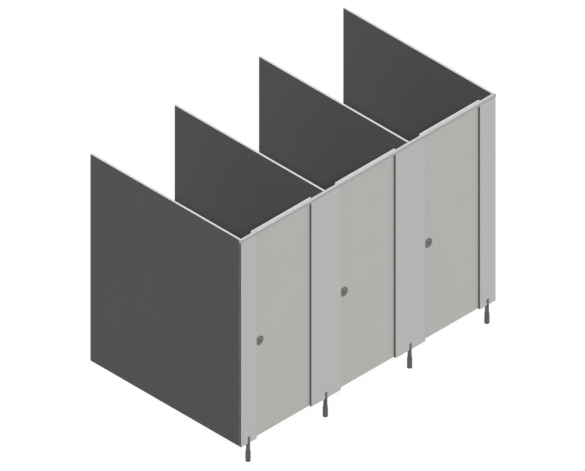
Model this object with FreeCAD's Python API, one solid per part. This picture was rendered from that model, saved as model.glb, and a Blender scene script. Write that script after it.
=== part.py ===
"""A range of three toilet cubicles: four partitions that fix to a wall behind, four pilasters on
adjustable legs, an aluminium headrail over the pilasters, and three doors that open inwards.

Each door hangs behind its two pilasters on three hinges, and carries an indicator bolt: a spindle
through the door turns a pinion, and the pinion drives a slide bolt under a strap keeper.

Frame, in mm: X to the right along the doors, Y from the doors to the wall, Z up from the floor.
The origin is on the floor, under the middle of the bounding box.
Depths, called "deep" below, are measured back from the front face of the pilasters.
"""

import FreeCAD
import Part
import math
import os

V = FreeCAD.Vector
X, Y, Z = V(1, 0, 0), V(0, 1, 0), V(0, 0, 1)

# Driving dimensions of the range.
BAYS = 3
PITCH = 867.0            # partition to partition
BOARD = 18.0             # thickness of every board
TOP = 2000.0             # top of the partitions and of the headrail
FLOOR_GAP = 160.0        # floor to the underside of the boards
DEPTH = 1550.0           # front of the pilasters to the wall
PILASTER_WIDTH = 306.0   # a pilaster between two doors
EDGE_BEVEL = 1.0         # the boards' lipped edges
FIT = 0.2                # slack between pieces that are slid together

# Doors.
DOOR_WIDTH = 610.0
DOOR_FRONT = 22.0        # depth of the door's front face: 4 mm behind the pilaster
DOOR_BACK = DOOR_FRONT + BOARD
DOOR_TOP = TOP - 2

# Headrail: an extruded section with a closed chamber over a slot that takes the pilasters.
RAIL_HEIGHT = 25.0
RAIL_WALL = 2.0
RAIL_SLOT_DEPTH = 14.0
RAIL_FRONT = -FIT - RAIL_WALL
RAIL_BACK = BOARD + FIT + RAIL_WALL
RAIL_CORNER_R = 1.5

# Hinges, three to a door, each with its axis behind and beside the door's edge.
HINGE_HEIGHTS = (330.0, 1080.0, 1830.0)     # middle of each hinge
HINGE_HEIGHT = 64.0
KNUCKLE_R = 7.0
HINGE_PIN_R = 3.0
HINGE_SIDE = 8.5                            # door's edge to the hinge axis
HINGE_DEEP = DOOR_BACK + KNUCKLE_R
DOOR_KNUCKLE = 31.0
LEAF_THICK = 3.0
LEAF_CORNER = 5.0                           # the leaves' clipped corners

# Indicator bolt.
LOCK_HEIGHT = 1000.0
LOCK_INSET = 73.5                           # door's edge to the spindle
ROSE_R = 38.0
ROSE_THICK = 6.0
CASE_DEEP = 12.0
CASE_WALL = 2.5
CASE_HALF = 24.0                            # half the case's height
GEAR_MODULE = 1.5
GEAR_TEETH = 16
PITCH_R = GEAR_MODULE * GEAR_TEETH / 2
PRESSURE_ANGLE = math.radians(20)
BACKLASH = 0.3
BOLT_FRONT, BOLT_BACK = DOOR_BACK + 0.5, DOOR_BACK + 6.5
BOLT_TIP = -LOCK_INSET + 1.5                # withdrawn, from the spindle
BOLT_HALF = 9.0                             # half the height of the bolt's nose
SPINDLE = 7.0                               # square across flats
DISC_FRONT = DOOR_FRONT - 3.5               # coloured disc under the rose
BOSS_FRONT = DOOR_FRONT - ROSE_THICK - 1    # its slotted boss stands 1 mm out of the rose
TURN_FRONT = DOOR_BACK + CASE_DEEP + 0.4    # thumb turn's face next to the case

# Coat hooks, over the locks. The buffer meets the partition before the thumb turn does.
HOOK_HEIGHT = 1640.0
HOOK_REACH = 62.0

# Brackets.
JOINT_HEIGHTS = (300.0, 1060.0, 1860.0)
LAST_WALL_HEIGHTS = (300.0, 700.0, 1100.0)  # the last partition's wall angles are set lower
BRACKET_LEG = 34.0
BRACKET_THICK = 3.0
BRACKET_HEIGHT = 56.0
BRACKET_BEND = 2.0
BRACKET_HOLE_R = 2.75
BRACKET_HOLE_OUT = 21.0                     # corner to the line of holes
BRACKET_HOLE_SPACING = 30.0

# Legs, each in the middle of its pilaster.
SLEEVE_R = 19.5
SLEEVE_SHOULDER = 74.0
SLEEVE_TOP = 100.0
CLEVIS_R = 15.0
CLEVIS_FLAT = 12.0                          # leg's axis to the flats milled on the fork
CLEVIS_CLIP = 4.0                           # clipped top corners of the fork
CLEVIS_TOP = FLOOR_GAP + 56.0
CLEVIS_FOOT = 42.0
STEM_R = 5.0

WIDTH = BAYS * PITCH + BOARD
LEFT = -WIDTH / 2
LEG_DEEP = BOARD / 2
FRONT = (SLEEVE_R - LEG_DEEP - DEPTH) / 2   # Y of the pilasters' front face


def partition_left(i):
    """X of the left face of partition i, counted from 0."""
    return LEFT + i * PITCH


def partition_middle(i):
    return partition_left(i) + BOARD / 2


def door_left(i):
    return partition_middle(i) + (PITCH - DOOR_WIDTH) / 2


def lock_x(i):
    return door_left(i) + LOCK_INSET


def hinge_x(i):
    return door_left(i) + DOOR_WIDTH + HINGE_SIDE


def pilaster_span(i):
    """The two X limits of pilaster i; the end ones stop at the outer partition's face."""
    left = partition_middle(i) - PILASTER_WIDTH / 2
    return max(left, LEFT), min(left + PILASTER_WIDTH, LEFT + WIDTH)


def leg_x(i):
    return sum(pilaster_span(i)) / 2


def local_block(x0, x1, y0, y1, z0, z1):
    return Part.makeBox(x1 - x0, y1 - y0, z1 - z0, V(x0, y0, z0))


def block(x0, x1, deep0, deep1, z0, z1):
    return local_block(x0, x1, FRONT + deep0, FRONT + deep1, z0, z1)


def upright(radius, z0, z1):
    return Part.makeCylinder(radius, z1 - z0, V(0, 0, z0), Z)


def level(radius, y0, y1, x=0.0, z=0.0):
    return Part.makeCylinder(radius, y1 - y0, V(x, y0, z), Y)


def extruded(points, along):
    """A prism on the polygon through these points."""
    return Part.Face(Part.makePolygon(points + points[:1])).extrude(along)


def revolved(profile, axis):
    """A solid of revolution on a closed outline of (radius, height) points about Z or Y."""
    points = [V(r, 0, 0) + axis * h for r, h in profile]
    return Part.Face(Part.makePolygon(points + points[:1])).revolve(V(0, 0, 0), axis, 360)


def edges_along(shape, axis, test):
    """The straight edges parallel to an axis whose middle point passes the test."""
    def parallel(edge):
        ends = [v.Point for v in edge.Vertexes]
        return len(ends) == 2 and (ends[1] - ends[0]).cross(axis).Length < 1e-6
    return [e for e in shape.Edges if parallel(e) and test(e.CenterOfMass)]


def at(shape, x, y, z):
    return shape.translated(V(x, y, z))


def save(name, *solids):
    shape = solids[0] if len(solids) == 1 else Part.makeCompound(list(solids))
    for solid in shape.Solids:
        if not solid.isValid() or solid.Volume <= 0:
            raise ValueError(f"{name} has a bad solid")
    shape.exportStep(f"parts/{name}.step")


# Boards -----------------------------------------------------------------------------------------

def lipped(board):
    """A board with all its edges just bevelled, as its lipping is trimmed."""
    return board.makeChamfer(EDGE_BEVEL, board.Edges)


def partition(i):
    """A dividing board from the pilaster to the wall, notched for the headrail and for a leg."""
    left, right = partition_left(i), partition_left(i) + BOARD
    board = lipped(block(left, right, BOARD, DEPTH, FLOOR_GAP, TOP))
    cuts = [block(left, right, BOARD, RAIL_BACK + FIT, TOP - RAIL_HEIGHT - FIT, TOP)]
    if 0 < i < BAYS:
        cuts.append(block(left, right, BOARD, BOARD + 8, FLOOR_GAP, CLEVIS_TOP + 2))
    return board.cut(cuts)


def pilaster(i):
    """A front board whose top sits in the headrail's slot and whose foot sits in a leg."""
    left, right = pilaster_span(i)
    return lipped(block(left, right, 0, BOARD, FLOOR_GAP, TOP - RAIL_HEIGHT + RAIL_SLOT_DEPTH - FIT))


def door(i):
    """A plain leaf, drilled for the lock's spindle."""
    left = door_left(i)
    leaf = lipped(block(left, left + DOOR_WIDTH, DOOR_FRONT, DOOR_BACK, FLOOR_GAP, DOOR_TOP))
    return leaf.cut(level(6, FRONT + DOOR_FRONT, FRONT + DOOR_BACK, lock_x(i), LOCK_HEIGHT))


# Headrail ---------------------------------------------------------------------------------------

def rail_outline(x):
    """The outside of the section, with its two top edges rounded."""
    y0, y1 = FRONT + RAIL_FRONT, FRONT + RAIL_BACK
    z0, r = TOP - RAIL_HEIGHT, RAIL_CORNER_R
    bend = r * (1 - math.sqrt(0.5))
    edges = [
        Part.LineSegment(V(x, y0, z0), V(x, y0, TOP - r)),
        Part.Arc(V(x, y0, TOP - r), V(x, y0 + bend, TOP - bend), V(x, y0 + r, TOP)),
        Part.LineSegment(V(x, y0 + r, TOP), V(x, y1 - r, TOP)),
        Part.Arc(V(x, y1 - r, TOP), V(x, y1 - bend, TOP - bend), V(x, y1, TOP - r)),
        Part.LineSegment(V(x, y1, TOP - r), V(x, y1, z0)),
        Part.LineSegment(V(x, y1, z0), V(x, y0, z0)),
    ]
    return Part.Face(Part.Wire([e.toShape() for e in edges]))


def rail_chamber(x0, x1, slack):
    floor = TOP - RAIL_HEIGHT + RAIL_SLOT_DEPTH + RAIL_WALL
    return block(x0, x1, slack, BOARD - slack, floor + slack, TOP - RAIL_WALL - slack)


def headrail():
    section = rail_outline(LEFT).extrude(X * WIDTH)
    bottom = TOP - RAIL_HEIGHT
    slot = block(LEFT, LEFT + WIDTH, -FIT, BOARD + FIT, bottom, bottom + RAIL_SLOT_DEPTH)
    return section.cut([slot, rail_chamber(LEFT, LEFT + WIDTH, 0)])


def rail_end_caps():
    """A cap for each end, held by a spigot that is pushed into the chamber."""
    caps = []
    for end, out in ((LEFT, -1), (LEFT + WIDTH, 1)):
        plate = rail_outline(end).extrude(X * (RAIL_WALL * out))
        spigot = rail_chamber(min(end, end - 12 * out), max(end, end - 12 * out), FIT)
        caps.append(plate.fuse(spigot).removeSplitter())
    return caps


# Legs, about their own axis, from the floor up ----------------------------------------------------

def leg_clevis():
    """A turned bar, milled flat and slotted to a fork for the pilaster, bored for the foot's stem."""
    r, half, clip = CLEVIS_R, (BOARD + FIT) / 2, CLEVIS_CLIP
    bar = upright(r, CLEVIS_FOOT, CLEVIS_TOP)
    side = extruded([V(-r, -r, CLEVIS_FOOT), V(r, -r, CLEVIS_FOOT), V(r, -r, CLEVIS_TOP - 2 * clip),
                     V(r - clip - 2, -r, CLEVIS_TOP), V(clip + 2 - r, -r, CLEVIS_TOP),
                     V(-r, -r, CLEVIS_TOP - 2 * clip)], Y * (2 * r))
    cuts = [local_block(-r, r, -half, half, FLOOR_GAP, CLEVIS_TOP),
            local_block(-r, r, -r, -CLEVIS_FLAT, FLOOR_GAP - 8, CLEVIS_TOP),
            local_block(-r, r, CLEVIS_FLAT, r, FLOOR_GAP - 8, CLEVIS_TOP),
            upright(STEM_R + 0.1, CLEVIS_FOOT, CLEVIS_FOOT + 50)]
    return bar.common(side).cut(cuts)


def leg_sleeve():
    """The cover that drops over the foot: straight to a shoulder, then drawn in to the clevis."""
    bore = CLEVIS_R + FIT
    return revolved([(bore, 0), (SLEEVE_R, 0), (SLEEVE_R, SLEEVE_SHOULDER),
                     (bore + 0.8, SLEEVE_TOP), (bore, SLEEVE_TOP)], Z)


def leg_foot():
    """A levelling foot: a round plate, a hexagon to turn it by, and a stem up into the clevis."""
    corners = [math.radians(60 * n) for n in range(6)]
    nut = extruded([V(8.5 * math.cos(a), 8.5 * math.sin(a), 8) for a in corners], Z * 10)
    return upright(14.5, 0, 8).fuse([nut, upright(STEM_R, 18, 86)]).removeSplitter()


# Brackets -----------------------------------------------------------------------------------------

def angle_bracket():
    """An angle with its corner at the origin, one flange along +X and one along +Y."""
    leg, t, bend = BRACKET_LEG, BRACKET_THICK, BRACKET_THICK + BRACKET_BEND
    corner = [V(0, 0, 0), V(leg, 0, 0), V(leg, t, 0), V(bend, t, 0), V(t, bend, 0), V(t, leg, 0), V(0, leg, 0)]
    return extruded(corner, Z * BRACKET_HEIGHT)


def wall_angle():
    """The same angle with its +X flange drilled for the wall."""
    middle, apart = BRACKET_HEIGHT / 2, BRACKET_HOLE_SPACING / 2
    return angle_bracket().cut([level(BRACKET_HOLE_R, 0, BRACKET_THICK, BRACKET_HOLE_OUT, z)
                                for z in (middle - apart, middle + apart)])


def pilaster_brackets():
    """Angles behind the pilasters, on each side of a partition that faces a cubicle."""
    right_hand = angle_bracket()
    left_hand = right_hand.mirror(V(0, 0, 0), X)
    made = []
    for i in range(BAYS + 1):
        for z in JOINT_HEIGHTS:
            if i < BAYS:
                made.append(at(right_hand, partition_left(i) + BOARD, FRONT + BOARD, z - BRACKET_HEIGHT / 2))
            if i > 0:
                made.append(at(left_hand, partition_left(i), FRONT + BOARD, z - BRACKET_HEIGHT / 2))
    return made


def wall_brackets():
    """Angles at the wall end of each partition, on a face inside a cubicle."""
    right_hand = wall_angle().mirror(V(0, 0, 0), Y)
    left_hand = right_hand.mirror(V(0, 0, 0), X)
    made = []
    for i in range(BAYS + 1):
        angle, x = (right_hand, partition_left(i) + BOARD) if i < BAYS else (left_hand, partition_left(i))
        heights = JOINT_HEIGHTS if i < BAYS else LAST_WALL_HEIGHTS
        made += [at(angle, x, FRONT + DEPTH, z - BRACKET_HEIGHT / 2) for z in heights]
    return made


# Hinges, about their own axis, with the height from the middle ------------------------------------

def hinge_pilaster_leaf():
    """A cranked leaf: a plate on the pilaster's back, an arm past the door's edge, two knuckles."""
    half, gap = HINGE_HEIGHT / 2, DOOR_KNUCKLE / 2 + 0.5
    face = BOARD - HINGE_DEEP
    plate = local_block(-2, 38, face, face + 4, -half, half)
    plate = plate.makeChamfer(LEAF_CORNER, edges_along(plate, Y, lambda p: p.x > 37))
    arm = local_block(0, KNUCKLE_R, face, 0, -half, half)
    leaf = plate.fuse([arm, upright(KNUCKLE_R, -half, half)])
    cuts = [upright(KNUCKLE_R + 0.6, -gap, gap), upright(HINGE_PIN_R + 0.05, -half, half)]
    return leaf.cut(cuts).removeSplitter()


def hinge_door_leaf():
    """A flat leaf on the door's back that ends in the middle knuckle."""
    half, knuckle = HINGE_HEIGHT / 2, DOOR_KNUCKLE / 2
    face = -KNUCKLE_R
    plate = local_block(-52, -HINGE_SIDE, face, face + LEAF_THICK, -half, half)
    plate = plate.makeChamfer(LEAF_CORNER, edges_along(plate, Y, lambda p: p.x < -51))
    neck = local_block(-HINGE_SIDE, 0, face, face + LEAF_THICK, -knuckle, knuckle)
    leaf = plate.fuse([neck, upright(KNUCKLE_R, -knuckle, knuckle)])
    return leaf.cut(upright(HINGE_PIN_R + 0.05, -knuckle, knuckle)).removeSplitter()


def hinge_pin():
    half = HINGE_HEIGHT / 2 + 1.5
    return upright(HINGE_PIN_R, -half, half)


def hinged(piece, i):
    """The piece at each of door i's hinges."""
    return [at(piece, hinge_x(i), FRONT + HINGE_DEEP, z) for z in HINGE_HEIGHTS]


# Indicator bolt, about the spindle, with Y as depth from the pilaster's front face -----------------

def lock_rose():
    """The outside cover: a hollowed round plate with a window for the disc and a hole for the boss."""
    front, back = DOOR_FRONT - ROSE_THICK, DOOR_FRONT
    rose = level(ROSE_R, front, back)
    recess = level(28.5, DISC_FRONT - 0.4, back)
    boss_hole = level(9.2, front, back)
    ring = level(25, front, back).cut(level(15, front, back))
    wedge = extruded([V(0, front, 0), V(-30, front, 52), V(30, front, 52)], Y * (back - front))
    return rose.cut([recess, boss_hole, ring.common(wedge)])


def indicator_spindle():
    """The coloured disc, its slotted boss and the square spindle that goes through the door."""
    half = SPINDLE / 2
    disc = level(27.5, DISC_FRONT, DISC_FRONT + 2)
    boss = level(8.8, BOSS_FRONT, DISC_FRONT)
    spindle = local_block(-half, half, DISC_FRONT + 2, TURN_FRONT + 12, -half, half)
    coin_slot = local_block(-9, 9, BOSS_FRONT, BOSS_FRONT + 2.5, -1, 1)
    return disc.fuse([boss, spindle]).cut(coin_slot).removeSplitter()


def square_hole(y0, y1):
    half = SPINDLE / 2 + 0.1
    return local_block(-half, half, y0, y1, -half, half)


def tooth_half_angle(radius):
    """Half the angle that one involute tooth fills at this radius."""
    def roll(a):
        return math.tan(a) - a
    at_pitch = (math.pi * GEAR_MODULE / 2 - BACKLASH) / (2 * PITCH_R)
    base = PITCH_R * math.cos(PRESSURE_ANGLE)
    return at_pitch + roll(PRESSURE_ANGLE) - roll(math.acos(min(1.0, base / radius)))


def pinion():
    """A gear with involute flanks, a gap between teeth straight up, and a square hole."""
    root, base = PITCH_R - 1.25 * GEAR_MODULE, PITCH_R * math.cos(PRESSURE_ANGLE)
    tip = PITCH_R + GEAR_MODULE
    step = 2 * math.pi / GEAR_TEETH

    def point(radius, angle):
        return V(radius * math.cos(angle), BOLT_FRONT, radius * math.sin(angle))

    edges = []
    for n in range(GEAR_TEETH):
        middle = math.pi / 2 + (n + 0.5) * step
        rise = [point(r, middle - tooth_half_angle(r)) for r in (base, PITCH_R, tip)]
        fall = [point(r, middle + tooth_half_angle(r)) for r in (tip, PITCH_R, base)]
        foot_in = point(root, middle - tooth_half_angle(base))
        foot_out = point(root, middle + tooth_half_angle(base))
        next_foot = point(root, middle + step - tooth_half_angle(base))
        edges += [Part.LineSegment(foot_in, rise[0]), Part.Arc(*rise),
                  Part.LineSegment(rise[2], fall[0]), Part.Arc(*fall),
                  Part.LineSegment(fall[2], foot_out), Part.LineSegment(foot_out, next_foot)]
    gear = Part.Face(Part.Wire([e.toShape() for e in edges])).extrude(Y * (BOLT_BACK - BOLT_FRONT))
    return gear.cut(square_hole(BOLT_FRONT, BOLT_BACK))


def slide_bolt():
    """A flat bolt: its nose goes to the keeper, and its upper arm is a rack over the pinion."""
    half_tooth = math.pi * GEAR_MODULE / 4 - BACKLASH / 4
    tip, root = PITCH_R - GEAR_MODULE, PITCH_R + 1.25 * GEAR_MODULE
    arm_top = CASE_HALF - CASE_WALL - 0.4
    lean = math.tan(PRESSURE_ANGLE)
    at_root = half_tooth + (root - PITCH_R) * lean
    at_tip = half_tooth - (PITCH_R - tip) * lean
    points = [V(27, 0, root), V(27, 0, arm_top), V(-34, 0, arm_top), V(-34, 0, BOLT_HALF),
              V(BOLT_TIP + 3, 0, BOLT_HALF), V(BOLT_TIP, 0, BOLT_HALF - 3),
              V(BOLT_TIP, 0, 3 - BOLT_HALF), V(BOLT_TIP + 3, 0, -BOLT_HALF),
              V(-16, 0, -BOLT_HALF), V(-16, 0, root)]
    for n in range(-2, 6):
        middle = n * math.pi * GEAR_MODULE
        points += [V(middle - at_root, 0, root), V(middle - at_tip, 0, tip),
                   V(middle + at_tip, 0, tip), V(middle + at_root, 0, root)]
    return at(extruded(points, Y * (BOLT_BACK - BOLT_FRONT)), 0, BOLT_FRONT, 0)


def lock_case():
    """The moulded cover on the door's back, with ribs that keep the bolt flat and two screw posts."""
    left, right, half, wall = BOLT_TIP + 2, 33.0, CASE_HALF, CASE_WALL
    back = DOOR_BACK + CASE_DEEP
    inside, bolt_face = back - wall, BOLT_BACK + 0.3
    case = local_block(left, right, DOOR_BACK, back, -half, half)
    case = case.makeFillet(6, edges_along(case, Y, lambda p: True))
    case = case.makeChamfer(1.5, [e for e in case.Edges if e.BoundBox.YMin > back - 0.01])
    hollow = local_block(left + wall, right - wall, DOOR_BACK, inside, -half + wall, half - wall)
    hollow = hollow.makeChamfer(3, edges_along(hollow, Y, lambda p: True))
    ribs = [local_block(left + wall / 2, -36, bolt_face, inside + 1, z, z + 2) for z in (-6, 4)]
    ribs.append(local_block(-14, right - wall / 2, bolt_face, inside + 1, 15.5, 17.5))
    posts = [local_block(x - 4, x + 4, DOOR_BACK, inside + 1, 1 - half, 12 - half)
             for x in (left + 9, right - 9)]
    mouth = local_block(left, left + wall + 1, DOOR_BACK, BOLT_BACK + 0.4, -BOLT_HALF - 0.4, BOLT_HALF + 0.4)
    return case.cut(hollow).fuse(ribs + posts).cut([mouth, level(5.4, inside, back)]).removeSplitter()


def thumb_turn():
    """A round hub with a tapered wing to grip, pushed on the spindle's end."""
    wing = extruded([V(-13, 5, -3.5), V(13, 5, -3.5), V(11, 22, -3.5), V(8, 24, -3.5), V(-8, 24, -3.5),
                     V(-11, 22, -3.5)], Z * 7)
    turn = level(15, 0, 6).fuse(wing).removeSplitter()
    return at(turn, 0, TURN_FRONT, 0).cut(square_hole(TURN_FRONT, TURN_FRONT + 12.2))


def strap_keeper():
    """A strap bent from strip, screwed to the pilaster's back, that the bolt slides under."""
    t, inside, foot, length = 3.0, BOLT_HALF + 1.5, 30.0, 22.0
    under = BOLT_BACK + 1.5
    outer = [(foot, BOARD), (foot, BOARD + t), (inside + t, BOARD + t), (inside + t, under + t)]
    inner = [(inside, under), (inside, BOARD)]
    points = [V(0, y, z) for z, y in outer] + [V(0, y, -z) for z, y in reversed(outer)]
    points += [V(0, y, -z) for z, y in reversed(inner)] + [V(0, y, z) for z, y in inner]
    strap = extruded(points, X * length)
    strap = strap.makeFillet(4, edges_along(strap, X, lambda p: p.y > under + 1))
    strap = strap.makeFillet(1, edges_along(strap, X, lambda p: abs(p.y - under) < 1))
    return at(strap, -LOCK_INSET - 3 - length, 0, 0)


# Small pieces ---------------------------------------------------------------------------------------

def coat_hook():
    """A back plate with a prong bent up from strip, under a straight stub that carries the buffer."""
    plate = local_block(-14, 14, 0, 4, -34, 36)
    plate = plate.makeChamfer(5, edges_along(plate, Y, lambda p: True))
    half, t, reach, bend, low, rise = 9.0, 4.0, 18.0, 12.0, -20.0, 6.0
    slope = math.sin(math.pi / 4)

    def corner(radius):
        """An arc of the bend, from the level run to the upright one."""
        centre = V(-half, reach, low + bend)
        return Part.Arc(centre + V(0, 0, -radius), centre + V(0, radius * slope, -radius * slope),
                        centre + V(0, radius, 0))

    edges = [
        Part.LineSegment(V(-half, 3, low), V(-half, reach, low)), corner(bend),
        Part.LineSegment(V(-half, reach + bend, low + bend), V(-half, reach + bend, rise)),
        Part.LineSegment(V(-half, reach + bend, rise), V(-half, reach + bend - t, rise)),
        Part.LineSegment(V(-half, reach + bend - t, rise), V(-half, reach + bend - t, low + bend)),
        corner(bend - t),
        Part.LineSegment(V(-half, reach, low + t), V(-half, 3, low + t)),
        Part.LineSegment(V(-half, 3, low + t), V(-half, 3, low)),
    ]
    prong = Part.Face(Part.Wire(Part.__sortEdges__([e.toShape() for e in edges]))).extrude(X * (2 * half))
    prong = prong.makeChamfer(5, edges_along(prong, Y, lambda p: p.z > rise - 1))
    return plate.fuse([prong, level(5, 3, HOOK_REACH - 12, z=20)]).removeSplitter()


def hook_buffer():
    """The rubber end on the hook's stub."""
    return level(10, HOOK_REACH - 12, HOOK_REACH, z=20)


def door_buffers():
    """A half-round rubber strip behind each pilaster that a door's lock side closes against."""
    half, deep = 4.0, DOOR_FRONT - BOARD - 0.3
    bead = [Part.LineSegment(V(-half, 0, 0), V(half, 0, 0)),
            Part.Arc(V(half, 0, 0), V(0, deep, 0), V(-half, 0, 0))]
    face = Part.Face(Part.Wire([e.toShape() for e in bead]))
    strip = face.extrude(Z * (DOOR_TOP - FLOOR_GAP - 80))
    return [at(strip, door_left(i) + 12, FRONT + BOARD, FLOOR_GAP + 20) for i in range(BAYS)]


def save_frame():
    for i in range(BAYS + 1):
        n = i + 1
        save(f"partition_{n}", partition(i))
        save(f"pilaster_{n}", pilaster(i))
        save(f"leg_{n}_clevis", at(leg_clevis(), leg_x(i), FRONT + LEG_DEEP, 0))
        save(f"leg_{n}_sleeve", at(leg_sleeve(), leg_x(i), FRONT + LEG_DEEP, 0))
    save("leg_levelling_feet", *[at(leg_foot(), leg_x(i), FRONT + LEG_DEEP, 0) for i in range(BAYS + 1)])
    save("headrail", headrail())
    save("headrail_end_caps", *rail_end_caps())
    save("pilaster_brackets", *pilaster_brackets())
    save("wall_brackets", *wall_brackets())
    save("door_buffers", *door_buffers())
    save("hinge_pins", *[pin for i in range(BAYS) for pin in hinged(hinge_pin(), i)])


def save_doors():
    lock_pieces = {
        "lock_rose": lock_rose(), "indicator_spindle": indicator_spindle(), "lock_pinion": pinion(),
        "slide_bolt": slide_bolt(), "lock_case": lock_case(), "thumb_turn": thumb_turn(),
        "strap_keeper": strap_keeper(),
    }
    hook_pieces = {"coat_hook": coat_hook(), "coat_hook_buffer": hook_buffer()}
    for i in range(BAYS):
        n = i + 1
        save(f"door_{n}", door(i))
        save(f"hinge_pilaster_leaves_{n}", *hinged(hinge_pilaster_leaf(), i))
        save(f"hinge_door_leaves_{n}", *hinged(hinge_door_leaf(), i))
        for name, piece in lock_pieces.items():
            save(f"{name}_{n}", at(piece, lock_x(i), FRONT, LOCK_HEIGHT))
        for name, piece in hook_pieces.items():
            save(f"{name}_{n}", at(piece, lock_x(i), FRONT + DOOR_BACK, HOOK_HEIGHT))


os.makedirs("parts", exist_ok=True)
save_frame()
save_doors()
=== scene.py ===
import math

import bmesh
import bpy
from mathutils import Matrix, Vector


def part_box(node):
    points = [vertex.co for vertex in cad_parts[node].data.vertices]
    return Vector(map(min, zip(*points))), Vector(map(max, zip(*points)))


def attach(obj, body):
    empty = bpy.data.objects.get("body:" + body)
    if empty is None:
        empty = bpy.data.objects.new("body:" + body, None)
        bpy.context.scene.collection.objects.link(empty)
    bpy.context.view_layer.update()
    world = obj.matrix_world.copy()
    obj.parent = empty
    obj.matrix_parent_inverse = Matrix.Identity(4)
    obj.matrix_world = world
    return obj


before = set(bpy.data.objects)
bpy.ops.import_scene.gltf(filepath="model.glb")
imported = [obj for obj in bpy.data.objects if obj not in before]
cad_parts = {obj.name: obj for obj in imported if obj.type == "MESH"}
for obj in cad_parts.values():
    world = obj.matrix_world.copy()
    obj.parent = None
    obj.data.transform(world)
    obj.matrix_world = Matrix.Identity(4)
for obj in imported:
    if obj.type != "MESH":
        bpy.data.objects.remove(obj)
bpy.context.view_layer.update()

# ---------------------------------------------------------------------------------------------
# The legs. Each is a bar of stainless steel, turned and milled to a fork that grips its pilaster.
# A sleeve drops over the levelling foot, and socket screws clamp the fork from both sides.


class Field:
    """A value that changes over a surface. Arithmetic on fields adds the nodes that work it out."""

    def __init__(self, shading, socket):
        self.shading = shading
        self.socket = socket

    def output(self, which):
        """Another output of the node that this field comes from."""
        return Field(self.shading, self.socket.node.outputs[which])

    def worked(self, operation, *values):
        return self.shading.node("ShaderNodeMath", {"operation": operation}, dict(enumerate(values)))

    def __add__(self, other):
        return self.worked("ADD", self, other)

    def __radd__(self, other):
        return self.worked("ADD", other, self)

    def __sub__(self, other):
        return self.worked("SUBTRACT", self, other)

    def __rsub__(self, other):
        return self.worked("SUBTRACT", other, self)

    def __mul__(self, other):
        return self.worked("MULTIPLY", self, other)

    def __rmul__(self, other):
        return self.worked("MULTIPLY", other, self)

    def __lt__(self, other):
        return self.worked("LESS_THAN", self, other)

    def __gt__(self, other):
        return self.worked("GREATER_THAN", self, other)

    def __abs__(self):
        return self.worked("ABSOLUTE", self)

    def least(self, other):
        return self.worked("MINIMUM", self, other)

    def most(self, other):
        return self.worked("MAXIMUM", self, other)

    def between(self, low, high):
        """0 up to low, 1 from high, and a smooth rise between them."""
        return self.shading.node("ShaderNodeMapRange", {"interpolation_type": "SMOOTHSTEP"},
                                 {"Value": self, "From Min": low, "From Max": high})


class Shading:
    """A node tree, with the one way in which nodes are added to it."""

    def __init__(self, tree):
        self.tree = tree

    def node(self, kind, settings, sockets):
        """Adds a node, sets it up, and gives its first output."""
        made = self.tree.nodes.new(kind)
        for name, value in settings.items():
            setattr(made, name, value)
        for name, value in sockets.items():
            if isinstance(value, Field):
                self.tree.links.new(value.socket, made.inputs[name])
            else:
                made.inputs[name].default_value = value
        return Field(self, made.outputs[0])

    def seen(self):
        """1 for what the camera sees, straight or in a gloss, and 0 for light on its way."""
        ray = self.node("ShaderNodeLightPath", {}, {})
        return ray.output("Is Camera Ray").most(ray.output("Is Glossy Ray")).most(
            ray.output("Is Transmission Ray"))

    def show(self, shader):
        """Makes this shader the one that the whole tree puts out."""
        self.tree.links.new(shader.socket, self.tree.get_output_node("ALL").inputs["Surface"])


class Finish(Shading):
    """A surface finish: one material, its steady values, and the nodes that vary the others."""

    def __init__(self, name, steady):
        self.material = bpy.data.materials.new(name)
        self.material.use_nodes = True
        super().__init__(self.material.node_tree)
        self.shader = self.tree.nodes["Principled BSDF"]
        for socket, value in steady.items():
            self.shader.inputs[socket].default_value = value
        self.place = self.node("ShaderNodeTexCoord", {}, {}).output("Object")

    def axis(self, name):
        """How far along X, Y or Z, in metres."""
        return self.node("ShaderNodeSeparateXYZ", {}, {0: self.place}).output(name)

    def facing(self, name):
        """How far the surface faces along X, Y or Z, from -1 to 1."""
        normal = self.place.output("Normal")
        return self.node("ShaderNodeSeparateXYZ", {}, {0: normal}).output(name)

    def cloud(self, size, drawn=(1, 1, 1), detail=2.0):
        """Noise from 0 to 1 with blots of this size in metres, drawn out so many times along each axis."""
        scaled = self.node("ShaderNodeVectorMath", {"operation": "DIVIDE"},
                           {0: self.place, 1: [size * long for long in drawn]})
        return self.node("ShaderNodeTexNoise", {}, {"Vector": scaled, "Scale": 1.0, "Detail": detail})

    def mixed(self, share, one, other):
        """Colour one, going over to the other as share goes from 0 to 1."""
        return self.node("ShaderNodeMix", {"data_type": "RGBA"}, {0: share, 6: one, 7: other}).output(2)

    def feed(self, socket, field):
        self.tree.links.new(field.socket, self.shader.inputs[socket])

    def coloured(self, share, one, other):
        """Colours the surface with a mix of two colours."""
        self.feed("Base Color", self.mixed(share, one, other))

    def relief(self, height, depth, strength):
        """Fine relief that light picks out, with heights from 0 to 1 over this depth in metres."""
        self.feed("Normal", self.node("ShaderNodeBump", {},
                                      {"Height": height, "Distance": depth, "Strength": strength}))

    def cover(self, node):
        """Lays the finish over a solid piece."""
        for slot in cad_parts[node].material_slots:
            slot.material = self.material


def shade(red, green, blue):
    """A colour given as a screen shows it, from 0 to 255, as the linear values that a shader takes."""
    return [((c / 255 + 0.055) / 1.055) ** 2.4 for c in (red, green, blue)] + [1.0]


SAME_POINT = 0.00001                 # corners this close are one corner
SAME_PLANE = math.radians(1)         # faces this near to level with each other are one face
SHARP_EDGE = math.radians(34)        # bends from here on are rounded
TOUCHING = 0.000002                  # corners this close on a rounded edge are one
BIG_FACE_WEIGHT = 90                 # how far big faces set the shading, where 50 is not at all


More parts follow.
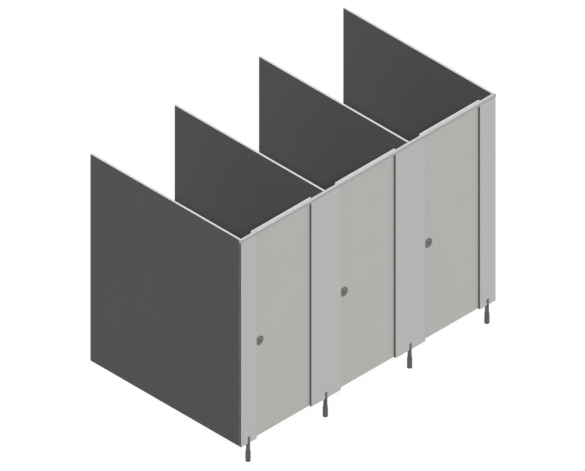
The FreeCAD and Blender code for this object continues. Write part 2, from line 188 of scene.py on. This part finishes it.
def eased(node, width, segments=2):
    """Rounds the sharp edges of a solid piece, as tumbling or polishing leaves them."""
    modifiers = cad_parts[node].modifiers
    modifiers.new("joined", "WELD").merge_threshold = SAME_POINT
    flat = modifiers.new("flat", "DECIMATE")
    flat.decimate_type = "DISSOLVE"
    flat.angle_limit = SAME_PLANE
    bevel = modifiers.new("eased", "BEVEL")
    bevel.limit_method = "ANGLE"
    bevel.angle_limit = SHARP_EDGE
    bevel.width = width
    bevel.segments = segments
    bevel.use_clamp_overlap = True
    bevel.harden_normals = True
    modifiers.new("closed", "WELD").merge_threshold = TOUCHING
    level = modifiers.new("level", "WEIGHTED_NORMAL")
    level.weight = BIG_FACE_WEIGHT
    level.keep_sharp = True


def skin(bm, rings):
    """Joins a stack of rings of points into one closed surface."""
    rows = [[bm.verts.new(point) for point in ring] for ring in rings]
    for low, high in zip(rows, rows[1:]):
        for n in range(len(low)):
            m = (n + 1) % len(low)
            bm.faces.new((low[n], low[m], high[m], high[n]))
    bm.faces.new(rows[0][::-1])
    bm.faces.new(rows[-1])


def seat(point, outward, turn):
    """Where a fastener sits: its underside on the point, its axis outward, turned by so much."""
    upright = Vector(outward).to_track_quat("Z", "Y").to_matrix().to_4x4()
    return Matrix.Translation(Vector(point)) @ upright @ Matrix.Rotation(turn, 4, "Z")


# how far out and how far up a head's dome goes, as shares of its radius and its height
HEAD_PROFILE = ((1.0, 0.0), (1.0, 0.3), (0.94, 0.62), (0.82, 0.86), (0.62, 1.0))
DRIVE_TAPER = 0.88                   # width of a drive's floor against its mouth


def screw_head(bm, place, radius, height, drive, depth):
    """A domed head with its drive sunk in, given as the recess's reach at angles round the head."""
    def ring(reaches, z):
        return [place @ Vector((r * math.cos(a), r * math.sin(a), z)) for a, r in reaches]

    rings = [ring([(a, radius * share) for a, _ in drive], height * rise) for share, rise in HEAD_PROFILE]
    rings.append(ring(drive, height))
    rings.append(ring([(a, DRIVE_TAPER * r) for a, r in drive], height - depth))
    skin(bm, rings)


def hexagon_drive(across):
    """A hexagonal socket of this width across its flats, with four points to a side."""
    step = math.pi / 12
    return [(n * step, across / 2 / math.cos((n + 2) % 4 * step - 2 * step)) for n in range(24)]


SOFT_BEND = math.radians(35)         # bends up to here are shaded smooth


def made_piece(name, bm, finish, body):
    """Turns the mesh into a piece on a body, smooth except at its sharper bends."""
    bmesh.ops.recalc_face_normals(bm, faces=bm.faces)
    for face in bm.faces:
        face.smooth = True
    for edge in bm.edges:
        edge.smooth = edge.calc_face_angle(0) < SOFT_BEND
    mesh = bpy.data.meshes.new(name)
    bm.to_mesh(mesh)
    bm.free()
    mesh.materials.append(finish.material)
    piece = bpy.data.objects.new(name, mesh)
    bpy.context.scene.collection.objects.link(piece)
    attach(piece, body)


PILASTER_COUNT = 4                   # with a leg under the middle of each
LEG_EDGE = 0.0006                    # how far its sharp edges are rounded
FORK_FLAT = 0.012                    # leg's axis to the flat face of a fork's cheek
FORK_SCREW_RISE = (0.017, 0.039)     # above the boards' underside
FORK_SCREW_RADIUS = 0.0048
FORK_SCREW_HEIGHT = 0.0022
FORK_HEXAGON = 0.004                 # its socket's width across the flats
FORK_HEXAGON_DEEP = 0.0015
TURNED_DARK = shade(76, 76, 75)
TURNED_LIGHT = shade(104, 104, 102)
ZINC_DARK = shade(128, 129, 126)
ZINC_LIGHT = shade(168, 169, 164)

turned_steel = Finish("turned_stainless", {"Metallic": 1.0})
rings_turned = turned_steel.cloud(0.0007, drawn=(60, 60, 1), detail=3.0)
handled = turned_steel.cloud(0.025, detail=3.0)
turned_steel.coloured(0.35 * rings_turned + 0.65 * handled, TURNED_DARK, TURNED_LIGHT)
turned_steel.feed("Roughness", 0.26 + 0.14 * rings_turned + 0.12 * handled)
turned_steel.relief(rings_turned, 0.00004, 0.6)

zinc = Finish("zinc_plate", {"Metallic": 1.0})
spangle = zinc.cloud(0.003, detail=4.0)
zinc.coloured(spangle, ZINC_DARK, ZINC_LIGHT)
zinc.feed("Roughness", 0.32 + 0.2 * spangle)
zinc.relief(spangle, 0.00003, 0.4)
zinc.cover("leg_levelling_feet")

fork_screws = bmesh.new()
for n in range(1, PILASTER_COUNT + 1):
    for part in (f"leg_{n}_clevis", f"leg_{n}_sleeve"):
        turned_steel.cover(part)
        eased(part, LEG_EDGE)
    low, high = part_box(f"leg_{n}_clevis")
    middle = (low + high) / 2
    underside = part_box(f"pilaster_{n}")[0].z
    for row, rise in enumerate(FORK_SCREW_RISE):
        for out in (-1, 1):
            point = (middle.x, middle.y + out * FORK_FLAT, underside + rise)
            screw_head(fork_screws, seat(point, (0, out, 0), n + 2 * row + out), FORK_SCREW_RADIUS,
                       FORK_SCREW_HEIGHT, hexagon_drive(FORK_HEXAGON), FORK_HEXAGON_DEEP)
made_piece("fork_screws", fork_screws, zinc, "frame")

# ---------------------------------------------------------------------------------------------
# The pilasters: front boards of pressed core with hard laminate pressed over both faces and over the
# glued lipping, so that its brown backing shows as a fine line along each arris.

LAMINATE_THICK = 0.0008
LAMINATE_BACKING = shade(70, 62, 54)
PILASTER_FACE = shade(180, 180, 181)
PILASTER_SCUFFS = 0.22               # how far up from the foot it is scuffed
PALE_LIPPING = shade(198, 198, 196)
# painted shade: the pilasters' upright edges are coloured dark for the shade on their sides; the ends stay
# pale
SIDE_EDGE_PAINTED_SHADE = shade(76, 76, 75)
RUBBED_LIPPING = shade(120, 120, 118)


def toned(colour, share):
    """The colour made lighter or darker by a share."""
    return [c * share for c in colour[:3]] + [1.0]


def board_finish(node, face, side_lipping, end_lipping, scuffed):
    """Fine-grained laminate between lipped edges, scuffed up to a height above the board's foot."""
    low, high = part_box(node)
    board = Finish(f"{node}_laminate", {"IOR": 1.48, "Specular IOR Level": 0.1})
    through = "Y" if high.x - low.x > high.y - low.y else "X"
    front, back = (low.y, high.y) if through == "Y" else (low.x, high.x)
    edge = abs(board.facing(through)) < 0.9
    end = abs(board.facing("Z")) > 0.6
    depth = board.axis(through)
    backing = edge * ((depth - front).least(back - depth) < LAMINATE_THICK)

    grain = board.cloud(0.0012, detail=3.0)
    cast = board.cloud(0.35, detail=3.0)
    drift = board.cloud(0.03, drawn=(1, 1, 3), detail=4.0)
    specks = board.cloud(0.0022, detail=1.0).between(0.66, 0.74)
    laminate = board.mixed(0.5 * grain + 0.3 * cast + 0.2 * drift, toned(face, 0.93), toned(face, 1.07))
    laminate = board.mixed(0.1 * specks, laminate, toned(face, 0.72))

    scrape = board.cloud(0.012, drawn=(9, 9, 0.35), detail=5.0).between(0.6, 0.68)
    scrape = scrape * (1 - (board.axis("Z") - low.z).between(0.02, scuffed))
    laminate = board.mixed(0.16 * scrape, laminate, toned(face, 0.6))

    lips = board.mixed(0.14 * drift, board.mixed(end, side_lipping, end_lipping), RUBBED_LIPPING)
    colour = board.mixed(edge, laminate, lips)
    board.coloured(0.75 * backing, colour, LAMINATE_BACKING)

    wiped = board.cloud(0.09, drawn=(1, 1, 2), detail=4.0)
    board.feed("Roughness", 0.36 + 0.12 * wiped + 0.05 * grain + 0.14 * scrape + 0.1 * edge)
    board.relief(grain * (1 - edge), 0.00012, 0.35)
    board.cover(node)


# upright edges in painted shade, top and bottom ends in pale lipping
for n in range(1, PILASTER_COUNT + 1):
    board_finish(f"pilaster_{n}", PILASTER_FACE, SIDE_EDGE_PAINTED_SHADE, PALE_LIPPING, PILASTER_SCUFFS)

# ---------------------------------------------------------------------------------------------
# The partitions: laminated dividing boards from the pilasters back to the wall, over the same pale
# lipping, so that their top edges read as light lines. Their dark charcoal faces are painted shade.

PARTITION_COUNT = 4
# painted shade: the faces' dark colour stands in for the shade that falls on the boards' sides
PARTITION_PAINTED_SHADE = shade(73, 73, 73)
PARTITION_SCUFFS = 0.2

for n in range(1, PARTITION_COUNT + 1):
    board_finish(f"partition_{n}", PARTITION_PAINTED_SHADE, PALE_LIPPING, PALE_LIPPING, PARTITION_SCUFFS)

# ---------------------------------------------------------------------------------------------
# The angle brackets that join partitions to pilasters and to the wall: cut from extruded angle
# and powder coated to match the partitions. Each flange takes two cross-headed screws.

BRACKET_THICK = 0.003
BRACKET_EDGE = 0.0005
BRACKET_SCREW_OUT = 0.021            # from the corner, along either flange
BRACKET_SCREW_APART = 0.030
BRACKET_HEIGHTS = (0.300, 1.060, 1.860)
LAST_WALL_HEIGHTS = (0.300, 0.700, 1.100)
SCREW_RADIUS = 0.0042
SCREW_HEIGHT = 0.0021
CROSS_ARM = 0.0022                   # middle of the cross to the end of an arm
CROSS_HALF_WIDTH = 0.00055
CROSS_FLANK = 0.5                    # a point on an arm's side, in radians round from its middle
CROSS_DEEP = 0.0013
POWDER_DARK = shade(72, 72, 72)
POWDER_LIGHT = shade(88, 88, 88)
BLACK_ZINC_DARK = shade(74, 74, 76)
BLACK_ZINC_LIGHT = shade(104, 104, 104)


def cross_drive():
    """A cross-shaped recess, as six points to a quarter."""
    tip = math.atan2(CROSS_HALF_WIDTH, CROSS_ARM)
    tip_reach = math.hypot(CROSS_ARM, CROSS_HALF_WIDTH)
    flank_reach = CROSS_HALF_WIDTH / math.sin(CROSS_FLANK)
    quarter = [(0.0, CROSS_ARM), (tip, tip_reach), (CROSS_FLANK, flank_reach),
               (math.pi / 4, CROSS_HALF_WIDTH * math.sqrt(2)), (math.pi / 2 - CROSS_FLANK, flank_reach),
               (math.pi / 2 - tip, tip_reach)]
    return [(a + k * math.pi / 2, r) for k in range(4) for a, r in quarter]


def wood_screw(bm, point, outward, turn):
    """The head of a cross-headed screw. Each is left at a turn of its own, as a fitter leaves them."""
    screw_head(bm, seat(point, outward, turn), SCREW_RADIUS, SCREW_HEIGHT, cross_drive(), CROSS_DEEP)


def bracket_row(bm, corner, out, inward, heights, turn):
    """The screws of the brackets up one corner. Its flanges run out along X and inward along Y."""
    x, y = corner
    for middle in heights:
        for step in (-0.5, 0.5):
            z = middle + step * BRACKET_SCREW_APART
            wood_screw(bm, (x + out * BRACKET_SCREW_OUT, y + inward * BRACKET_THICK, z), (0, inward, 0),
                       turn + 40 * z)
            wood_screw(bm, (x + out * BRACKET_THICK, y + inward * BRACKET_SCREW_OUT, z), (out, 0, 0),
                       turn + 41 * z)


powder = Finish("charcoal_powder_coat", {"IOR": 1.5})
peel = powder.cloud(0.0016)
dusty = powder.cloud(0.02, detail=3.0)
powder.coloured(0.5 * peel + 0.5 * dusty, POWDER_DARK, POWDER_LIGHT)
powder.feed("Roughness", 0.42 + 0.16 * dusty)
powder.relief(peel, 0.00015, 0.5)
for node in ("pilaster_brackets", "wall_brackets"):
    powder.cover(node)
    eased(node, BRACKET_EDGE, 1)

black_zinc = Finish("black_zinc", {"Metallic": 1.0})
stained = black_zinc.cloud(0.002, detail=3.0)
black_zinc.coloured(stained, BLACK_ZINC_DARK, BLACK_ZINC_LIGHT)
black_zinc.feed("Roughness", 0.34 + 0.16 * stained)

bracket_screws = bmesh.new()
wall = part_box("wall_brackets")[1].y
pilaster_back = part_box("pilaster_1")[1].y
for n in range(1, PARTITION_COUNT + 1):
    low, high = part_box(f"partition_{n}")
    if n > 1:
        bracket_row(bracket_screws, (low.x, pilaster_back), -1, 1, BRACKET_HEIGHTS, n)
    if n < PARTITION_COUNT:
        bracket_row(bracket_screws, (high.x, pilaster_back), 1, 1, BRACKET_HEIGHTS, n)
        bracket_row(bracket_screws, (high.x, wall), 1, -1, BRACKET_HEIGHTS, n + 2)
    else:
        bracket_row(bracket_screws, (low.x, wall), -1, -1, LAST_WALL_HEIGHTS, n + 2)
made_piece("bracket_screws", bracket_screws, black_zinc, "frame")

# ---------------------------------------------------------------------------------------------
# The headrail: an aluminium extrusion, satin anodised, pressed down over the pilasters' tops and
# screwed to each from behind. Moulded caps close its ends.

RAIL_SCREW_DROP = 0.016              # below the top of the rail
RAIL_SCREW_APART = 0.09
CAP_EDGE = 0.0004
ANODISED_DARK = shade(154, 155, 156)
ANODISED_LIGHT = shade(170, 171, 172)
CAP_DARK = shade(146, 147, 148)
CAP_LIGHT = shade(158, 159, 160)

anodised = Finish("satin_anodised_aluminium", {"Metallic": 0.75, "IOR": 1.5})
die_lines = anodised.cloud(0.0006, drawn=(900, 1, 1), detail=3.0)
bloom = anodised.cloud(0.18, drawn=(3, 1, 1))
anodised.coloured(0.6 * die_lines + 0.4 * bloom, ANODISED_DARK, ANODISED_LIGHT)
anodised.feed("Roughness", 0.36 + 0.12 * die_lines + 0.06 * bloom)
anodised.relief(die_lines, 0.00005, 0.4)
anodised.cover("headrail")

cap_plastic = Finish("grey_cap_moulding", {"IOR": 1.46})
moulded = cap_plastic.cloud(0.0009)
cap_plastic.coloured(moulded, CAP_DARK, CAP_LIGHT)
cap_plastic.feed("Roughness", 0.5 + 0.15 * moulded)
cap_plastic.relief(moulded, 0.00008, 0.4)
cap_plastic.cover("headrail_end_caps")
eased("headrail_end_caps", CAP_EDGE)

rail_screws = bmesh.new()
rail_back, rail_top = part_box("headrail")[1].y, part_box("headrail")[1].z
for n in range(1, PILASTER_COUNT + 1):
    low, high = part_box(f"leg_{n}_clevis")
    for side in (-0.5, 0.5):
        wood_screw(rail_screws, ((low.x + high.x) / 2 + side * RAIL_SCREW_APART, rail_back,
                                 rail_top - RAIL_SCREW_DROP), (0, 1, 0), n + side)
made_piece("rail_screws", rail_screws, zinc, "frame")

# ---------------------------------------------------------------------------------------------
# The doors: the same laminated board in a warmer pale grey, lipped to match all round. Each hangs
# behind its two pilasters and is drilled once, for the lock's spindle.

DOOR_COUNT = 3
DOOR_FACE = shade(176, 177, 172)
DOOR_LIPPING = shade(195, 195, 192)
DOOR_SCUFFS = 0.3

for n in range(1, DOOR_COUNT + 1):
    board_finish(f"door_{n}", DOOR_FACE, DOOR_LIPPING, DOOR_LIPPING, DOOR_SCUFFS)

# ---------------------------------------------------------------------------------------------
# The hinges: cranked stainless leaves screwed to the pilasters' backs and flat ones on the doors,
# on a plain pin each. Three hang each door.

HINGE_HEIGHTS = (0.330, 1.080, 1.830)
HINGE_EDGE = 0.0005
PILASTER_LEAF_SCREWS = ((0.022, -0.020), (0.022, 0.0), (0.022, 0.020))     # from the hinge's axis
DOOR_LEAF_SCREWS = ((-0.040, -0.020), (-0.024, 0.0), (-0.040, 0.020))
PILASTER_LEAF_THICK = 0.004
DOOR_LEAF_THICK = 0.003
BRUSHED_DARK = shade(140, 140, 138)
BRUSHED_LIGHT = shade(166, 166, 163)

brushed = Finish("brushed_stainless", {"Metallic": 1.0})
strokes = brushed.cloud(0.0004, drawn=(1, 1, 40), detail=3.0)
touched = brushed.cloud(0.015, detail=3.0)
brushed.coloured(0.5 * strokes + 0.5 * touched, BRUSHED_DARK, BRUSHED_LIGHT)
brushed.feed("Roughness", 0.28 + 0.14 * strokes + 0.1 * touched)
brushed.relief(strokes, 0.00003, 0.5)
brushed.cover("hinge_pins")

leaf_screws = bmesh.new()
for n in range(1, DOOR_COUNT + 1):
    for leaves in (f"hinge_pilaster_leaves_{n}", f"hinge_door_leaves_{n}"):
        brushed.cover(leaves)
        eased(leaves, HINGE_EDGE)
    low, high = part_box(f"hinge_door_leaves_{n}")
    knuckle_radius = (high.y - low.y) / 2
    axis_x = high.x - knuckle_radius
    door_screws = bmesh.new()
    for z in HINGE_HEIGHTS:
        for across, rise in PILASTER_LEAF_SCREWS:
            wood_screw(leaf_screws, (axis_x + across, pilaster_back + PILASTER_LEAF_THICK, z + rise),
                       (0, 1, 0), n + 90 * z + 30 * rise)
        for across, rise in DOOR_LEAF_SCREWS:
            wood_screw(door_screws, (axis_x + across, low.y + DOOR_LEAF_THICK, z + rise), (0, 1, 0),
                       n + 70 * z + 50 * rise)
    made_piece(f"door_leaf_screws_{n}", door_screws, zinc, f"hung_door_{n}")
made_piece("pilaster_leaf_screws", leaf_screws, zinc, "frame")

# ---------------------------------------------------------------------------------------------
# The buffer strips: black rubber beads, half round, stuck to the pilasters' backs where the lock
# side of each door comes to rest.

RUBBER_DARK = shade(34, 34, 34)
RUBBER_LIGHT = shade(56, 56, 55)

rubber = Finish("black_rubber", {"IOR": 1.5})
bloomed = rubber.cloud(0.004, drawn=(1, 1, 4), detail=3.0)
rubber.coloured(bloomed, RUBBER_DARK, RUBBER_LIGHT)
rubber.feed("Roughness", 0.62 + 0.2 * bloomed)
rubber.relief(bloomed, 0.0001, 0.4)
rubber.cover("door_buffers")

# ---------------------------------------------------------------------------------------------
# The indicator bolts. Outside, a round rose of satin nickel with a window over a painted disc.
# Inside, a moulded case over pinion and bolt, a thumb turn, and a strap keeper on the pilaster.

# each nickel part, how far its edges are rounded, and in how many steps
NICKEL_PARTS = (("lock_rose", 0.0012, 3), ("thumb_turn", 0.0015, 3),
                ("strap_keeper", 0.0006, 2), ("slide_bolt", 0.0004, 2))
CASE_SCREW_INSET = 0.009             # from the case's ends
CASE_SCREW_RISE = 0.0075             # from its underside
KEEPER_THICK = 0.003
KEEPER_SCREW_REACH = 0.022           # either way from its middle
BOSS_EDGE = (0.0256, 0.0262)         # reach squared, in widths of the painted disc
NICKEL_DARK = shade(100, 100, 97)
NICKEL_LIGHT = shade(122, 122, 118)
CASE_DARK = shade(102, 102, 99)
CASE_LIGHT = shade(116, 116, 112)
BRASS_DARK = shade(158, 130, 74)
BRASS_LIGHT = shade(196, 164, 96)
VACANT_DARK = shade(128, 128, 124)
VACANT_LIGHT = shade(142, 142, 138)
ENGAGED_DARK = shade(158, 40, 36)
ENGAGED_LIGHT = shade(172, 48, 42)
BOSS_GREY = shade(112, 112, 108)

nickel = Finish("satin_nickel", {"Metallic": 1.0})
buffed = nickel.cloud(0.0005, drawn=(1, 1, 30), detail=3.0)
smeared = nickel.cloud(0.012, detail=4.0)
nickel.coloured(0.4 * buffed + 0.6 * smeared, NICKEL_DARK, NICKEL_LIGHT)
nickel.feed("Roughness", 0.3 + 0.12 * buffed + 0.12 * smeared)
nickel.relief(buffed, 0.00002, 0.4)

moulding = Finish("moulded_case", {"IOR": 1.46})
spark = moulding.cloud(0.0008)
moulding.coloured(spark, CASE_DARK, CASE_LIGHT)
moulding.feed("Roughness", 0.48 + 0.16 * spark)
moulding.relief(spark, 0.00012, 0.5)

brass = Finish("machined_brass", {"Metallic": 1.0})
cut_marks = brass.cloud(0.0005, drawn=(1, 8, 1))
brass.coloured(cut_marks, BRASS_DARK, BRASS_LIGHT)
brass.feed("Roughness", 0.28 + 0.16 * cut_marks)

paint = Finish("indicator_paint", {"IOR": 1.5})
spread = paint.node("ShaderNodeSeparateXYZ", {}, {0: paint.place.output("Generated")})
sideways = spread.output("X") - 0.5
upward = spread.output("Z") - 0.5
worn = paint.cloud(0.002, detail=3.0)
vacant = paint.mixed(worn, VACANT_DARK, VACANT_LIGHT)
engaged = paint.mixed(worn, ENGAGED_DARK, ENGAGED_LIGHT)
painted = paint.mixed((sideways - abs(upward)) > 0, vacant, engaged)
on_boss = 1 - (sideways * sideways + upward * upward).between(*BOSS_EDGE)
paint.coloured(on_boss, painted, BOSS_GREY)
paint.feed("Metallic", on_boss)
paint.feed("Roughness", 0.34 + 0.14 * worn)

for n in range(1, DOOR_COUNT + 1):
    for part, edge, segments in NICKEL_PARTS:
        nickel.cover(f"{part}_{n}")
        eased(f"{part}_{n}", edge, segments)
    moulding.cover(f"lock_case_{n}")
    brass.cover(f"lock_pinion_{n}")
    paint.cover(f"indicator_spindle_{n}")
    case_screws = bmesh.new()
    low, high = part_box(f"lock_case_{n}")
    for x in (low.x + CASE_SCREW_INSET, high.x - CASE_SCREW_INSET):
        wood_screw(case_screws, (x, high.y, low.z + CASE_SCREW_RISE), (0, 1, 0), n + 60 * x)
    made_piece(f"case_screws_{n}", case_screws, zinc, f"hung_door_{n}")
    keeper_screws = bmesh.new()
    low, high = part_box(f"strap_keeper_{n}")
    for side in (-1, 1):
        wood_screw(keeper_screws, ((low.x + high.x) / 2, low.y + KEEPER_THICK,
                                   (low.z + high.z) / 2 + side * KEEPER_SCREW_REACH), (0, 1, 0), n + side)
    made_piece(f"keeper_screws_{n}", keeper_screws, zinc, "frame")

# ---------------------------------------------------------------------------------------------
# The coat hooks over the locks: a strip of nickel-plated steel bent up from a back plate, with a
# stub that carries a rubber buffer to meet the partition.

HOOK_EDGE = 0.0008
HOOK_BUFFER_EDGE = 0.0012
HOOK_PLATE_THICK = 0.004
HOOK_SCREW_INSET = 0.005             # from the plate's ends

for n in range(1, DOOR_COUNT + 1):
    nickel.cover(f"coat_hook_{n}")
    eased(f"coat_hook_{n}", HOOK_EDGE, 3)
    rubber.cover(f"coat_hook_buffer_{n}")
    eased(f"coat_hook_buffer_{n}", HOOK_BUFFER_EDGE, 3)
    low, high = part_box(f"coat_hook_{n}")
    hook_screws = bmesh.new()
    for z in (low.z + HOOK_SCREW_INSET, high.z - HOOK_SCREW_INSET):
        wood_screw(hook_screws, ((low.x + high.x) / 2, low.y + HOOK_PLATE_THICK, z), (0, 1, 0), n + z)
    made_piece(f"hook_screws_{n}", hook_screws, zinc, f"hung_door_{n}")

# ---------------------------------------------------------------------------------------------
# The studio: a wide pale floor, an even sky, a lamp in line with the camera so that what it sees has
# no shadow, a soft key lamp from the front, one from behind for the insides, and one at each end.

FLOOR_REACH = 30.0
FLOOR_COLOUR = shade(150, 150, 150)
FLOOR_GLOW = 0.86                    # share of the seen floor that is plain white, under any shadow
SKY_LEVEL = 0.22
WHITE = (1, 1, 1, 1)
# each lamp's name, where it shines from, its level, and its width in the sky in degrees
LAMPS = (("front_lamp", (-1, -1, 1), 2.8, 5),
         ("key_lamp", (0.2, -1.4, 1.05), 0.74, 60),
         ("back_lamp", (0.1, 1.4, 0.45), 3.0, 70),
         ("left_lamp", (-1.3, 0.8, 1.0), 0.25, 60),
         ("right_lamp", (1.4, 0.5, 0.1), 1.8, 40))

pale = Finish("pale_floor", {"Roughness": 0.9, "Specular IOR Level": 0.0})
seen = pale.seen()
pale.coloured(seen, FLOOR_COLOUR, WHITE)
lit = Field(pale, pale.shader.outputs[0])
glow = pale.node("ShaderNodeEmission", {}, {"Color": WHITE, "Strength": 1.0})
pale.show(pale.node("ShaderNodeMixShader", {}, {0: FLOOR_GLOW * seen, 1: lit, 2: glow}))
corners = [(x * FLOOR_REACH, y * FLOOR_REACH, 0) for x, y in ((-1, -1), (1, -1), (1, 1), (-1, 1))]
floor_mesh = bpy.data.meshes.new("floor")
floor_mesh.from_pydata(corners, [], [(0, 1, 2, 3)])
floor_mesh.materials.append(pale.material)
floor = bpy.data.objects.new("floor", floor_mesh)
bpy.context.scene.collection.objects.link(floor)

world = bpy.data.worlds.new("studio")
bpy.context.scene.world = world
world.use_nodes = True
sky = Shading(world.node_tree)
light = sky.node("ShaderNodeBackground", {}, {"Color": WHITE, "Strength": SKY_LEVEL})
backdrop = sky.node("ShaderNodeBackground", {}, {"Color": WHITE, "Strength": 1.0})
sky.show(sky.node("ShaderNodeMixShader", {}, {0: sky.seen(), 1: light, 2: backdrop}))

for name, toward, level, width in LAMPS:
    sun = bpy.data.lights.new(name, "SUN")
    sun.energy = level
    sun.angle = math.radians(width)
    lamp = bpy.data.objects.new(name, sun)
    lamp.rotation_euler = Vector(toward).to_track_quat("Z", "Y").to_euler()
    bpy.context.scene.collection.objects.link(lamp)

# ---------------------------------------------------------------------------------------------
# The camera: a parallel view from the front left corner, looking down so that the three axes are
# seen equally foreshortened.

VIEW_WIDTH = 4.2547                  # metres from the frame's left to its right
VIEW_CENTRE = Vector((0.004, 0.01425, 1.0))
VIEW_FROM = Vector((-1, -1, 1)).normalized()
VIEW_DISTANCE = 12.0
VIEW_REACH = 60.0                    # nothing beyond this is seen

lens = bpy.data.cameras.new("camera")
lens.type = "ORTHO"
lens.ortho_scale = VIEW_WIDTH
lens.clip_end = VIEW_REACH
camera = bpy.data.objects.new("camera", lens)
camera.location = VIEW_CENTRE + VIEW_FROM * VIEW_DISTANCE
camera.rotation_euler = VIEW_FROM.to_track_quat("Z", "Y").to_euler()
bpy.context.scene.collection.objects.link(camera)
bpy.context.scene.camera = camera
bpy.context.scene.view_settings.view_transform = "Standard"
